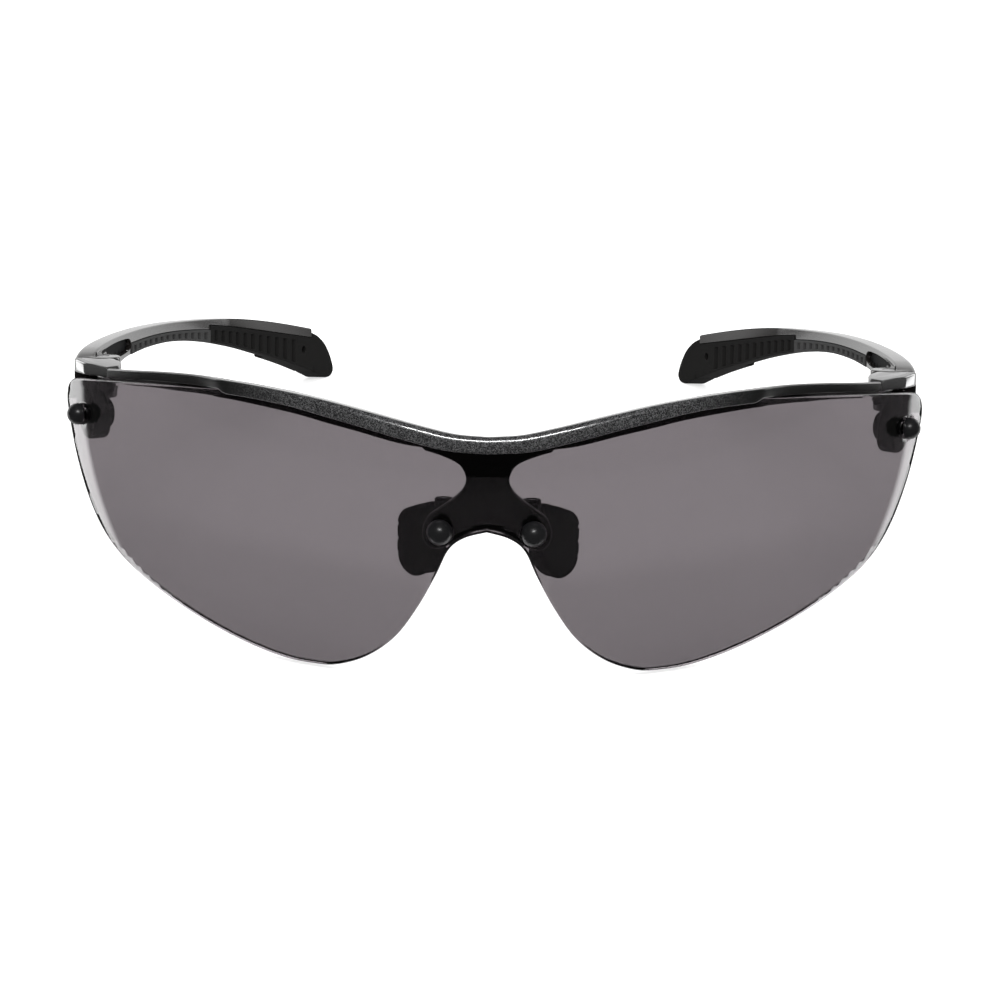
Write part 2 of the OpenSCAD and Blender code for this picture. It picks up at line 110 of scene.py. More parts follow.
PAD_PIVOT = (6.9, 6.8)
PAD_SPLAY = 45
PAD_T = 2.2
PAD_BORE_R = 0.74
PAD_NOTCHES = 4
PAD_NOTCH_PITCH = 2.3
PAD_NOTCH_TOP = -20.2
PAD_NOTCH_HEIGHT = 0.6
PAD_OUTLINE = [
    (2, -18.1), (4.6, -18.4), (7.2, -19.2), (9, -20), (10, -21.6),
    (10, -24), (10, -26.4), (9.4, -28.4), (8, -29.7), (6, -30.2),
    (3.8, -29.2), (1.4, -26.4), (0.3, -23.8), (0.4, -21.9), (1.95, -21.8),
]

# Temple heights, as (Y, Z)
TEMPLE_TOP = [(43.8, -0.3), (46, 0.25), (50, 0.7), (60, 0.9), (76, 0.75), (87, 0.4), (97, -0.1),
              (112, -1.2), (121, -2.1), (129, -3.2), (136, -4.4),
              (143, -5.8), (149, -7.2), (153, -8.6)]
TEMPLE_BOTTOM = [(43.8, -7.2), (51, -7.1), (58, -5), (66, -3.4), (76, -2.9),
                 (84, -2.9), (91, -3.15), (98, -3.75), (106.5, -4.8),
                 (114.5, -6.1), (122, -7.7), (129, -9.5), (135.5, -11.3),
                 (142, -13.3), (148, -15.45)]
LINER_LINE = [(70, -1.1), (82, -1.15), (92, -1.5), (102, -2.2), (109.5, -2.95)]
TIP_LINE = [(110.5, -2.2), (117, -3.1), (127, -4.8), (138, -6.8), (147.2, -8.5)]
TIP_END = [(147.02, -7.5), (149, -8.4), (150.9, -9.9), (152.4, -12), (153.4, -14.2),
           (153.6, -15.6), (152.8, -16.6), (151.3, -16.75), (149.6, -16.1), (148, -15.45)]
LINER_START = 71
TIP_START = 110
ARM_END = 147
SKIN_NARROWS = 118
SKIN_END = 134
TEMPLE_T = 3.2
SKIN_T = 1.6
TEMPLE_R = 250
# Radii of the temple's outer and inner faces and of the joint behind its thin skin
OUTER = TEMPLE_R + TEMPLE_T / 2
INNER = TEMPLE_R - TEMPLE_T / 2
MID = OUTER - SKIN_T
# The plan circle passes through this X and Y, at that angle
TEMPLE_START = (68.7, 44, radians(3.5))
LINER_GROOVES = 13
TIP_GROOVES = 11
TIP_GROOVES_END = 142.3
TEMPLE_C = (TEMPLE_START[0] - TEMPLE_R * cos(TEMPLE_START[2]),
            TEMPLE_START[1] - TEMPLE_R * sin(TEMPLE_START[2]))
GROOVE_DEPTH = 0.55
CORD_HOLE = (145, -10.5)

# Hinge heights
EAR_TOP = -0.3
EAR_GAP_TOP = -2.0
TONGUE_TOP = -2.4
TONGUE_BOTTOM = -5.1
EAR_GAP_BOTTOM = -5.3
EAR_BOTTOM = -7.2
EAR_R = 3.2
TONGUE_R = 2.7
SCREW_R = 0.7
SCREW_RECESS_R = 1.25
# Top and underside of each corner piece, and how much its top falls forwards
CORNER_TOP = -0.25
CORNER_SHELF = -2.7
CORNER_FALL = 0.096


# --- Curves and outlines ------------------------------------------------------
def curve(points, steps, closed=False):
    """Smooth curve through points, with that many steps between neighbours."""
    n = len(points)
    out = []
    for i in range(n if closed else n - 1):
        near = [(i + k) % n if closed else min(max(i + k, 0), n - 1) for k in (-1, 0, 1, 2)]
        a, b, c, d = (np.array(points[k], float) for k in near)
        for k in range(steps):
            t = k / steps
            out.append(0.5 * (2 * b + (c - a) * t + (2 * a - 5 * b + 4 * c - d) * t * t
                              + (3 * b - a - 3 * c + d) * t ** 3))
    if not closed:
        out.append(np.array(points[-1], float))
    return [tuple(p) for p in out]


def height(table, x):
    """Smooth value at x in a table of (x, value)."""
    i = next((k for k in range(len(table) - 2) if x < table[k + 1][0]), len(table) - 2)

    def slope(k):
        a, b = max(k - 1, 0), min(k + 1, len(table) - 1)
        return (table[b][1] - table[a][1]) / (table[b][0] - table[a][0])

    h = table[i + 1][0] - table[i][0]
    u = (x - table[i][0]) / h
    return ((1 + 2 * u) * (1 - u) ** 2 * table[i][1] + u * (1 - u) ** 2 * h * slope(i)
            + u * u * (3 - 2 * u) * table[i + 1][1] + u * u * (u - 1) * h * slope(i + 1))


def both_halves(half):
    """A closed outline from its right half, which starts and may end at x = 0."""
    return list(half) + [(-x, z) for x, z in reversed(half) if x > 0.001]


def rounded(points, cuts, steps=4):
    """Rounds each corner of a closed outline, starting that far before it."""
    out = []
    n = len(points)
    for i in range(n):
        a, p, b = (Vector(points[k % n]) for k in (i - 1, i, i + 1))
        cut = min(cuts[i], 0.49 * (a - p).length, 0.49 * (b - p).length)
        start = p + (a - p).normalized() * cut
        end = p + (b - p).normalized() * cut
        for k in range(steps + 1):
            t = k / steps
            out.append(start * (1 - t) ** 2 + p * 2 * t * (1 - t) + end * t * t)
    return out


def circle(r, n, centre=(0, 0)):
    """A closed outline with n points."""
    return [(centre[0] + r * cos(2 * pi * k / n), centre[1] + r * sin(2 * pi * k / n))
            for k in range(n)]


def area(loop):
    """Signed area of a closed loop, positive when it runs anticlockwise."""
    return sum(a[0] * b[1] - b[0] * a[1] for a, b in zip(loop, loop[1:] + loop[:1])) / 2


def inset(loop, distance):
    """Moves a closed loop to its left by that distance."""
    n = len(loop)
    out = []
    for i in range(n):
        a, p, b = (Vector(loop[k % n][:2]) for k in (i - 1, i, i + 1))
        before, after = (p - a).normalized(), (b - p).normalized()
        across = Vector((-(before + after).y, (before + after).x)).normalized()
        stretch = max(across.dot(Vector((-before.y, before.x))), 0.5)
        out.append(tuple(p + across * (distance / stretch)))
    return out


# --- Meshes, as (points, faces) ----------------------------------------------
def skin(rings):
    """Closed skin through equal rings of points."""
    n, m = len(rings[0]), len(rings)
    points = [Vector(p) for ring in rings for p in ring]
    faces = [(j * n + k, j * n + (k + 1) % n, (j + 1) * n + (k + 1) % n, (j + 1) * n + k)
             for j in range(m - 1) for k in range(n)]
    return points, faces + [tuple(range(n)), tuple(range((m - 1) * n, m * n))]


def inside(points, loops):
    """Which points lie inside an odd number of loops."""
    found = np.zeros(len(points), bool)
    for loop in loops:
        a = np.array(loop)
        for (x0, y0), (x1, y1) in zip(a, np.roll(a, -1, axis=0)):
            if y0 != y1:
                crosses = (points[:, 1] < y0) != (points[:, 1] < y1)
                at = x0 + (points[:, 1] - y0) * (x1 - x0) / (y1 - y0)
                found ^= crosses & (points[:, 0] < at)
    return found


def edge_distance(points, loops):
    """Distance from each point to the nearest loop."""
    nearest = np.full(len(points), 1e9)
    for loop in loops:
        a = np.array(loop)
        for start, end in zip(a, np.roll(a, -1, axis=0)):
            along = end - start
            t = np.clip(((points - start) @ along) / max(along @ along, 1e-12), 0, 1)
            nearest = np.minimum(nearest, np.linalg.norm(points - start - t[:, None] * along, axis=1))
    return nearest


def inner_points(loops, insets, spacing):
    """Points that fill closed loops: rows beside the edges, at those insets, and a grid."""
    groups = []
    for distance in insets:
        row = np.array([p for loop in loops for p in inset(loop, distance)])
        groups.append(row[(edge_distance(row, loops) > 0.97 * distance) & inside(row, loops)])
    low, high = (f([p for loop in loops for p in loop], axis=0) for f in (np.min, np.max))
    rows = np.arange(low[1] + spacing / 2, high[1], spacing * 0.87)
    grid = np.array([(x + (j % 2) * spacing / 2, y) for j, y in enumerate(rows)
                     for x in np.arange(low[0] - spacing / 2, high[0], spacing)]).reshape(-1, 2)
    if len(grid):
        grid = grid[inside(grid, loops)]
        groups.append(grid[edge_distance(grid, loops) > insets[-1] + 0.45 * spacing])
    return np.vstack(groups)


def fill(loops, insets, spacing):
    """Triangles inside closed loops. The points start with the loops' own."""
    rims = np.array([p for loop in loops for p in loop])
    points = np.vstack([rims, inner_points(loops, insets, spacing)])
    edges, start = [], 0
    for loop in loops:
        edges += [(start + k, start + (k + 1) % len(loop)) for k in range(len(loop))]
        start += len(loop)
    result = delaunay_2d_cdt([Vector(p) for p in points], edges, [], 0, 1e-6)
    faces = [tuple(result[3][k][0] for k in face) for face in result[2]]
    middles = np.array([points[list(face)].mean(axis=0) for face in faces])
    return points, [f for f, keep in zip(faces, inside(middles, loops)) if keep]


def slab(loops, place, thickness, rim, spacing, rim_steps=3):
    """A plate with rounded edges. place(point, depth) puts an outline's point in
    space; the first loop is the outside and the others are holes. The faces of
    the rim come last, and their number is returned too."""
    loops = [loop if (area(loop) > 0) == (i == 0) else loop[::-1] for i, loop in enumerate(loops)]
    insets = [rim * (1 - cos(pi / 2 * k / rim_steps)) for k in range(1, rim_steps + 1)]
    flat, triangles = fill(loops, insets, spacing)
    gap = np.minimum(edge_distance(flat, loops), rim)
    sunk = rim - np.sqrt(np.maximum(rim ** 2 - (rim - gap) ** 2, 0))
    points = [place(p, d) for p, d in zip(flat, sunk)]
    points += [place(p, thickness - d) for p, d in zip(flat, sunk)]
    count = len(flat)
    walls = []
    start = 0
    for loop in loops:
        n = len(loop)
        walls += [(start + k, start + k + count, start + (k + 1) % n + count, start + (k + 1) % n)
                  for k in range(n)]
        start += n
    rim_triangles = [f for f in triangles if min(gap[list(f)]) < 0.9 * rim]
    core = [f for f in triangles if min(gap[list(f)]) >= 0.9 * rim]
    under = [[tuple(k + count for k in reversed(f)) for f in group] for group in (core, rim_triangles)]
    rim_faces = rim_triangles + under[1] + walls
    return (points, core + under[0] + rim_faces), len(rim_faces)


def prism(outline, low, high, bevel=0.25, steps=3):
    """Upright prism with rounded top and bottom edges."""
    outline = [tuple(p[:2]) for p in outline]
    if area(outline) < 0:
        outline = outline[::-1]
    arc = [pi / 2 * k / steps for k in range(steps + 1)]
    levels = [(bevel * (1 - sin(a)), low + bevel * (1 - cos(a))) for a in arc]
    levels += [(d, high + low - z) for d, z in reversed(levels)]
    return skin([[(*p, z) for p in inset(outline, d)] for d, z in levels])


def lathe(profile, n=48):
    """Solid of revolution about Z: profile is (radius, height) from axis to axis."""
    rings = [[(r * cos(2 * pi * k / n), r * sin(2 * pi * k / n), z) for k in range(n)]
             for r, z in profile[1:-1]]
    return skin(rings)


def moved(shape, matrix):
    """The shape carried by a matrix."""
    return [matrix @ Vector(p) for p in shape[0]], shape[1]


def as_object(name, shape):
    """A shape as an object in the scene, its faces turned outwards."""
    mesh = bpy.data.meshes.new(name)
    mesh.from_pydata([p[:] for p in shape[0]], [], shape[1])
    work = bmesh.new()
    work.from_mesh(mesh)
    bmesh.ops.recalc_face_normals(work, faces=work.faces)
    work.to_mesh(mesh)
    work.free()
    obj = bpy.data.objects.new(name, mesh)
    bpy.context.scene.collection.objects.link(obj)
    return obj


def combined(shape, others, operation):
    """UNION or DIFFERENCE of closed shapes, as one shape."""
    base = as_object("base", shape)
    tools = [as_object("tool", other) for other in others]
    for tool in tools:
        modifier = base.modifiers.new("cut", "BOOLEAN")
        modifier.operation = operation
        modifier.solver = "EXACT"
        modifier.object = tool
    bpy.context.view_layer.update()
    result = base.evaluated_get(bpy.context.evaluated_depsgraph_get()).to_mesh()
    points = [v.co.copy() for v in result.vertices]
    faces = [tuple(f.vertices) for f in result.polygons]
    for obj in [base] + tools:
        bpy.data.objects.remove(obj)
    return points, faces


def piece(name, shape, material, body, replaces=(), mirrored=False, crease=35,
          rim_material=None, rim_faces=0):
    """Puts a shape into the frame as a named piece on a body."""
    obj = as_object(name, moved(shape, STAND @ MIRROR if mirrored else STAND))
    mesh = obj.data
    mesh.materials.append(material)
    # The rim's faces take the second material: for the bridge plate a lighter grey, a painted highlight
    # on its bevel.
    if rim_material:
        mesh.materials.append(rim_material)
        for face in list(mesh.polygons)[-rim_faces:]:
            face.material_index = 1
    mesh.shade_smooth()
    mesh.set_sharp_from_angle(angle=radians(crease))
    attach(obj, body)
    if replaces:
        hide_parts(*replaces)


# --- Materials ----------------------------------------------------------------
# Where the looks change, as (start, end) in metres of the frame: the bar's flakes
# giving way to painted shade away from the middle, the arms' gloss towards the back, the corner pieces'
# shelf
FLAKES_TO_PAINTED_SHADE = (0.032, 0.042)
GLOSS_FADE = (0.0425, 0.0445)
SHELF_FADE = (0.0364, 0.0368)


def principled(name, color, roughness, metallic=0.0, **extra):
    """A Principled material; extra names are its sockets with _ for spaces."""
    material = bpy.data.materials.new(name)
    material.use_nodes = True
    shader = material.node_tree.nodes["Principled BSDF"]
    shader.inputs["Base Color"].default_value = (*color, 1)
    shader.inputs["Roughness"].default_value = roughness
    shader.inputs["Metallic"].default_value = metallic
    for socket, value in extra.items():
        shader.inputs[socket.replace("_", " ")].default_value = value
    return material


def axis_of(tree, coordinate, axis):
    """One axis of a coordinate: Object, in metres of the frame at rest, or Generated."""
    split = tree.nodes.new("ShaderNodeSeparateXYZ")
    tree.links.new(tree.nodes.new("ShaderNodeTexCoord").outputs[coordinate], split.inputs[0])
    return split.outputs[axis]


def calculate(tree, operation, *values):
    """A Math node; each value is a number or another node's output."""
    node = tree.nodes.new("ShaderNodeMath")
    node.operation = operation
    for socket, value in zip(node.inputs, values):
        if isinstance(value, bpy.types.NodeSocket):
            tree.links.new(value, socket)
        else:
            socket.default_value = value
    return node.outputs[0]


def fade(tree, value, start, end, low=0.0, high=1.0):
    """Goes from low to high while the value goes from start to end."""
    node = tree.nodes.new("ShaderNodeMapRange")
    for name, number in (("From Min", start), ("From Max", end), ("To Min", low), ("To Max", high)):
        node.inputs[name].default_value = number
    tree.links.new(value, node.inputs["Value"])
    return node.outputs[0]


def add_bump(material, scale, distance):
    """Fine surface grain: scale is per metre, distance in metres."""
    nodes, links = material.node_tree.nodes, material.node_tree.links
    where = nodes.new("ShaderNodeTexCoord")
    grain = nodes.new("ShaderNodeTexNoise")
    grain.inputs["Scale"].default_value = scale
    grain.inputs["Detail"].default_value = 2.0
    bump = nodes.new("ShaderNodeBump")
    bump.inputs["Distance"].default_value = distance
    bump.inputs["Strength"].default_value = 1.0
    links.new(where.outputs["Object"], grain.inputs["Vector"])
    links.new(grain.outputs[0], bump.inputs["Height"])
    links.new(bump.outputs["Normal"], nodes["Principled BSDF"].inputs["Normal"])


def add_flakes_and_painted_shade(material, dark, light, scale, plain):
    """Metallic paint: small cells whose brightness varies between two colours near
    the middle of the bar, giving way towards its ends to a plain near-black that is painted shade."""
    tree = material.node_tree
    nodes, links = tree.nodes, tree.links
    where = nodes.new("ShaderNodeTexCoord")
    cells = nodes.new("ShaderNodeTexVoronoi")
    cells.inputs["Scale"].default_value = scale
    ramp = nodes.new("ShaderNodeValToRGB")
    ramp.color_ramp.elements[0].color = (*dark, 1)
    ramp.color_ramp.elements[0].position = 0.35
    ramp.color_ramp.elements[1].color = (*light, 1)
    ramp.color_ramp.elements[1].position = 0.9
    links.new(where.outputs["Object"], cells.inputs["Vector"])
    links.new(cells.outputs["Color"], ramp.inputs["Fac"])
    # Towards the bar's ends the flakes fade into the plain near-black: painted shade where the bar turns
    # away from the light.
    from_middle = calculate(tree, "ABSOLUTE", axis_of(tree, "Object", "X"))
    mix = nodes.new("ShaderNodeMix")
    mix.data_type = "RGBA"
    links.new(fade(tree, from_middle, *FLAKES_TO_PAINTED_SHADE), mix.inputs["Factor"])
    links.new(ramp.outputs["Color"], mix.inputs[6])
    mix.inputs[7].default_value = (*plain, 1)
    links.new(mix.outputs[2], nodes["Principled BSDF"].inputs["Base Color"])


def dull_towards_tip(material):
    """Takes most of the gloss off the rear half of the arms."""
    tree = material.node_tree
    back = axis_of(tree, "Object", "Y")
    for socket, gloss, dull in (("Coat Weight", 0.5, 0.0), ("Specular IOR Level", 0.5, 0.06)):
        tree.links.new(fade(tree, back, *GLOSS_FADE, gloss, dull),
                       tree.nodes["Principled BSDF"].inputs[socket])


def shine_above_shelf(material):
    """Bright metal on a corner piece's top, and plain black on its lug and tongue."""
    tree = material.node_tree
    up = axis_of(tree, "Object", "Z")
    for socket, low, high in (("Base Color", 0.003, 0.24), ("Metallic", 0.0, 0.9),
                              ("Specular IOR Level", 0.05, 0.5)):
        tree.links.new(fade(tree, up, *SHELF_FADE, low, high),
                       tree.nodes["Principled BSDF"].inputs[socket])


def make_materials():
    """Every material, by the short name that build() uses."""
    smoke = principled("smoked_polycarbonate", (0.14, 0.126, 0.134), 0.0, IOR=1.5,
                       Transmission_Weight=1.0)
    paint = principled("gunmetal_paint", (0.05, 0.05, 0.052), 0.3, 0.6, Coat_Weight=0.8,
                       Coat_Roughness=0.06)
    # The plain near-black towards the bar's ends is painted shade; the cells between the two other
    # colours are the real flakes.
    add_flakes_and_painted_shade(paint, (0.012, 0.012, 0.013), (0.17, 0.17, 0.172), 7500, (0.012, 0.012, 0.012))
    corner = principled("gunmetal_gloss", (0.24, 0.24, 0.24), 0.16, 0.9)
    shine_above_shelf(corner)
    nylon = principled("black_nylon", (0.002, 0.002, 0.0025), 0.4, Specular_IOR_Level=0.1)
    # Lighter grey for the bridge plate's bevelled rim: a painted highlight where the bevel catches the
    # light.
    edge = principled("bridge_rim_painted_highlight", (0.10, 0.10, 0.10), 0.3)
    stud = principled("stud_nylon", (0.006, 0.006, 0.0065), 0.3, Specular_IOR_Level=0.3)
    add_bump(stud, 2500, 0.00002)
    rubber = principled("pad_rubber", (0.002, 0.002, 0.0025), 0.6, Specular_IOR_Level=0.05)
    tip = principled("tip_rubber", (0.009, 0.0088, 0.0086), 0.7, Specular_IOR_Level=0.02)
    liner = principled("liner_rubber", (0.03, 0.03, 0.03), 0.7, Specular_IOR_Level=0.1)
    for soft in (rubber, tip, liner):
        add_bump(soft, 3000, 0.00002)
    arm = principled("gloss_arm", (0.008, 0.007, 0.0065), 0.2, Coat_Roughness=0.06)
    dull_towards_tip(arm)
    steel = principled("brushed_steel", (0.55, 0.55, 0.56), 0.28, 1.0)
    add_bump(steel, 4000, 0.000005)
    washer = principled("washer_nylon", (0.75, 0.74, 0.70), 0.4)
    add_bump(washer, 4000, 0.000005)
    return dict(smoke=smoke, paint=paint, corner=corner, nylon=nylon, edge=edge, stud=stud,
                rubber=rubber, tip=tip, liner=liner, arm=arm, steel=steel, washer=washer)


# --- Lens and studs ----------------------------------------------------------
def toward(angle, rise):
    """Unit direction out of the lens's centre, at a plan angle and a rise in radians."""
    return Vector((sin(angle) * cos(rise), -cos(angle) * cos(rise), sin(rise)))


def radial(angle, rise):
    """Puts +Z out from the lens's centre, at a plan angle and a rise in degrees."""
    out = toward(radians(angle), radians(rise)).to_track_quat("Z", "Y").to_matrix()
    return Matrix.Translation(LENS_C) @ out.to_4x4()


def unrolled(outline, r):
    """A front-view outline on a sphere of that radius, as arcs across and up the lens."""
    out = []
    for x, z in outline:
        dz = z - LENS_C.z
        out.append((atan2(x, sqrt(r * r - x * x - dz * dz)) * LENS_R, asin(dz / r) * LENS_R))
    return out


def on_sphere(r):
    """Puts an unrolled outline on a sphere of that radius; depth goes inwards."""
    return lambda p, depth: LENS_C + toward(p[0] / LENS_R, p[1] / LENS_R) * (r - depth)


def stud_holes(angle, rise):
    """Unrolled outlines of a stud's hole and its mirror image."""
    across, up = radians(angle) * LENS_R, radians(rise) * LENS_R
    return [circle(STUD_HOLE_R, 24, (side * across, up)) for side in (-1, 1)]


def lens_shape():
    """The one-piece shield with its four stud holes."""
    outline = unrolled(both_halves(curve(LENS_HALF, 8)), LENS_R)
    holes = stud_holes(*SIDE_STUD[:2]) + stud_holes(*NOSE_STUD[:2])
    return slab([outline] + holes, on_sphere(LENS_R), LENS_T, 0.4, 1.3)[0]


def stud_shape(angle, rise, r, length):
    """Ball-headed stud: a domed head on the lens and a shank through it."""
    seat = LENS_R + 0.05
    centre = seat + 0.35
    shank = STUD_HOLE_R - 0.07
    head = [(r * cos(radians(a)), centre + r * sin(radians(a))) for a in range(-8, 90, 7)]
    profile = [(0, LENS_R - length), (shank - 0.2, LENS_R - length), (shank, LENS_R - length + 0.2),
               (shank, seat), (head[0][0] - 0.12, seat), (head[0][0], seat + 0.12)] + head
    profile += [(0.05, centre + r), (0, centre + r)]
    return moved(lathe(profile), radial(angle, rise))


# --- Brow bar and nose bridge --------------------------------------------------
def bar_ring(angle):
    """Section of the brow bar at a plan angle: a slot for the lens between front and lip."""
    x = abs((LENS_R - LENS_T - 0.8) * sin(angle))
    top, lip, front = (height(t, x) for t in (BAR_TOP, BAR_LIP, BAR_FRONT))
    slot = height(BAR_SLOT, abs(LENS_R * sin(angle)))
    # The front reaches below the slot only where it stands clear of the lens
    reach = max(0, min(1, (front - LENS_R - 0.45) / 0.3))
    skirt = slot - 0.02 - reach * max(0, slot - 0.02 - height(BAR_SKIRT, x))
    seat_r = LENS_R - LENS_T - SEAT
    lip_front = min(sqrt(seat_r ** 2 - (slot - LENS_C.z) ** 2), front - 0.5)
    skirt_back = min(LENS_R + SEAT, front - 0.35)
    back = min(BRIDGE_INNER_R, front - BAR_DEPTH)
    drop = 0.4 + 0.13 * (front - back - BAR_DEPTH)
    corners = [(back, lip), (lip_front, lip), (lip_front, slot), (skirt_back, slot),
               (skirt_back, skirt), (front, skirt), (front, top), (back, top - drop)]
    section = rounded(corners, [0.5, 0.4, 0.02, 0.02, 0.02, 0.7, 1.5, 1.0], 7)
    return [(r * sin(angle), LENS_C.y - r * cos(angle), z) for r, z in section]


def bar_shape(rings_each_side=90):
    """The brow bar, swept round the lens's top."""
    end = radians(BAR_END_ANGLE)
    steps = range(-rings_each_side, rings_each_side + 1)
    return skin([bar_ring(i / rings_each_side * end) for i in steps])


def bridge_plate():
    """The plate behind the lens, whose top is hidden in the bar's lip. It comes with
    the number of its rim's faces."""
    in_lip = [(x, height(BAR_LIP, x) + 0.7) for x in (11, 10, 8, 6, 4, 2, 0)]
    outline = unrolled(both_halves(curve(BRIDGE_HALF, 6) + in_lip), BRIDGE_OUTER_R)
    holes = stud_holes(*NOSE_STUD[:2])
    thickness = BRIDGE_OUTER_R - BRIDGE_INNER_R
    return slab([outline] + holes, on_sphere(BRIDGE_OUTER_R), thickness, 0.25, 0.9)


def bridge_back():
    """The tab behind the bar and the two pad barrels, with their ribs."""
    tab = [(0, -12), (3, -12), (5, -9.6), (5, -7.2), (0, -7.2)]
    tab_r = BRIDGE_INNER_R - SEAT
    shape = slab([unrolled(both_halves(tab), tab_r)], on_sphere(tab_r), tab_r - TAB_INNER_R, 0.3, 0.9)[0]
    foot = [(0, -12), (3, -12), (3, -9.8), (0, -9.8)]
    foot_r = 78.5
    others = [slab([unrolled(both_halves(foot), foot_r)], on_sphere(foot_r), 1.5, 0.1, 0.9)[0]]
    bores = []
    for side in (-1, 1):
        x, y = side * PAD_PIVOT[0], PAD_PIVOT[1]
        rib = [(x - 0.9, y - 2.2), (x + 0.9, y - 2.2), (x + 0.9, y), (x - 0.9, y)]
        others.append(prism(circle(BARREL_R, 40, (x, y)), BARREL_BOTTOM, BARREL_TOP, 0.25))
        others.append(prism(rib, BARREL_BOTTOM + 0.3, BARREL_TOP - 0.6, 0.15))
        bores.append(prism(circle(BARREL_BORE_R, 32, (x, y)), -23, -15, 0.1))
    return combined(combined(shape, others, "UNION"), bores, "DIFFERENCE")


# --- Nose pads -------------------------------------------------------------------
def pad_shape():
    """Soft pad: a pillow-edged slab with notches down its rear edge."""
    outline = curve(PAD_OUTLINE, 6, closed=True)

    def in_pad(p, depth):
        return Vector((p[0], PAD_T / 2 - depth, p[1]))

    body = slab([outline], in_pad, PAD_T, 0.9, 0.8, 5)[0]
    groove_floor = PAD_T / 2 - 0.35
    across_edge = [(9.25, -2), (11, -2), (11, 2), (9.25, 2)]
    along_face = [(1.2, groove_floor), (11, groove_floor), (11, 3), (1.2, 3)]
    notches = []
    for i in range(PAD_NOTCHES):
        z = PAD_NOTCH_TOP - PAD_NOTCH_PITCH * i
        notches += [prism(cut, z, z + PAD_NOTCH_HEIGHT, 0.1) for cut in (across_edge, along_face)]
    bore = prism(circle(PAD_BORE_R, 32), -24, -16, 0.05)
    shape = combined(body, notches + [bore], "DIFFERENCE")
    turn = Matrix.Translation((*PAD_PIVOT, 0)) @ Matrix.Rotation(radians(90 - PAD_SPLAY), 4, "Z")
    return moved(shape, turn)


# --- End pieces -------------------------------------------------------------------
def radial_rod(angle, rise, r, low, high):
    """A rod along a line out of the lens's centre, between two radii."""
    return moved(prism(circle(r, 40), low, high, 0.2), radial(angle, rise))


def end_piece_shape():
    """A corner piece: its body, the lug behind the lens, and the hinge's tongue."""
    corner = [(64.1, 35.8), (66.2, 37.8), (68, 38.9), (70.1, 42.4), (70.3, 43.6), (63.6, 43.2),
              (62, 40.6), (62, 37.3)]
    root = [(62, 37.4), (63.4, 37.4), (65.9, 40.2), (66.9, 42.8), (64, 42.8), (62, 40.6)]
    lug = [(68.9, -3.5), (68.8, -7), (68.3, -10), (67.6, -12), (66.9, -13), (65.9, -13),
           (65.2, -11.8), (65.1, -9), (65.6, -6.5), (66.3, -4.8), (66.8, -3.6)]
    lug_r = LENS_R - LENS_T - 0.15
    lug_inner_r = 76.6
    points, faces = prism(rounded(corner, [0.3] + [0.6] * 7, 4), CORNER_SHELF, CORNER_TOP, 0.45, 4)
    back = max(p[1] for p in corner)
    for p in points:
        share = (p.z - CORNER_SHELF) / (CORNER_TOP - CORNER_SHELF)
        p.z -= CORNER_FALL * (back - p.y) * share
    lug = unrolled(curve(lug, 5, closed=True), LENS_R - LENS_T)
    others = [
        prism(root, -5.3, CORNER_SHELF + 0.5, 0.15),
        slab([lug], on_sphere(lug_r), lug_r - lug_inner_r, 0.6, 0.9)[0],
        radial_rod(*SIDE_STUD[:2], 2.4, 75.8, 79.2),
    ]
    body = combined((points, faces), others, "UNION")
    hinge = (HINGE.x, HINGE.y)
    ear_room = prism(circle(EAR_R + 0.35, 64, hinge), EAR_BOTTOM - 0.4, 6, 0.1)
    body = combined(body, [ear_room], "DIFFERENCE")
    neck = [(HINGE.x - 1.5, HINGE.y - 4.4), (HINGE.x + 1.3, HINGE.y - 4.4), (HINGE.x + 1.3, HINGE.y),
            (HINGE.x - 1.5, HINGE.y)]
    tongue = [prism(circle(TONGUE_R, 64, hinge), TONGUE_BOTTOM, TONGUE_TOP, 0.15),
              prism(neck, TONGUE_BOTTOM, TONGUE_TOP, 0.05)]
    body = combined(body, tongue, "UNION")
    bores = [prism(circle(SCREW_R + 0.05, 32, hinge), -10, 2, 0.1),
             radial_rod(*SIDE_STUD[:2], 0.95, 70, 84)]
    return combined(body, bores, "DIFFERENCE")


# --- Temples ------------------------------------------------------------------------
def in_temple(y, r, z):
    """Place at that Y and height, on the temple's plan circle of that radius."""
    return Vector((TEMPLE_C[0] + sqrt(r * r - (y - TEMPLE_C[1]) ** 2), y, z))


def on_temple(r, inwards=1):
    """Puts a side-view outline on the temple's plan circle of that radius. Depth
    goes towards the head, or away from it where inwards is -1."""
    return lambda p, depth: in_temple(p[0], r - inwards * depth, p[1])


def joint_line(y):
    """Height of the joint between the hard arm and its liner or tip."""
    return height(LINER_LINE if y < TIP_START else TIP_LINE, y)


def arm_ring(y, lined):
    """Section of the hard arm: full thickness above the joint, a thin skin beside the liner."""
    top = height(TEMPLE_TOP, y)
    bottom = height(TEMPLE_BOTTOM, y)
    joint = joint_line(y) if lined else bottom + 0.04
    if y > SKIN_END:
        bottom = joint - 0.04
    mid_low = min(joint, bottom + 0.02) if joint < bottom + 0.05 else joint
    low = bottom
    if lined and y < SKIN_END:
        # The skin's lower edge draws in behind the soft parts, most of all at its end
        low += 0.12 + 0.4 * min(max((y - SKIN_NARROWS) / (SKIN_END - SKIN_NARROWS), 0), 1)
    corners = [(OUTER, low), (OUTER, top), (INNER, top), (INNER, joint), (MID + 0.02, mid_low),
               (MID + 0.02, low)]
    cuts = [1.0, 0.8, 0.45, 0.25, 0.05, 0.2] if lined else [1.0, 0.8, 0.45, 0.01, 0.01, 0.01]
    return [in_temple(y, r, z) for r, z in rounded(corners, cuts, 5)]


def spread(a, b, step):
    """Evenly spaced values from a to b, no further apart than step."""
    n = ceil((b - a) / step)
    return [a + (b - a) * k / n for k in range(n + 1)]


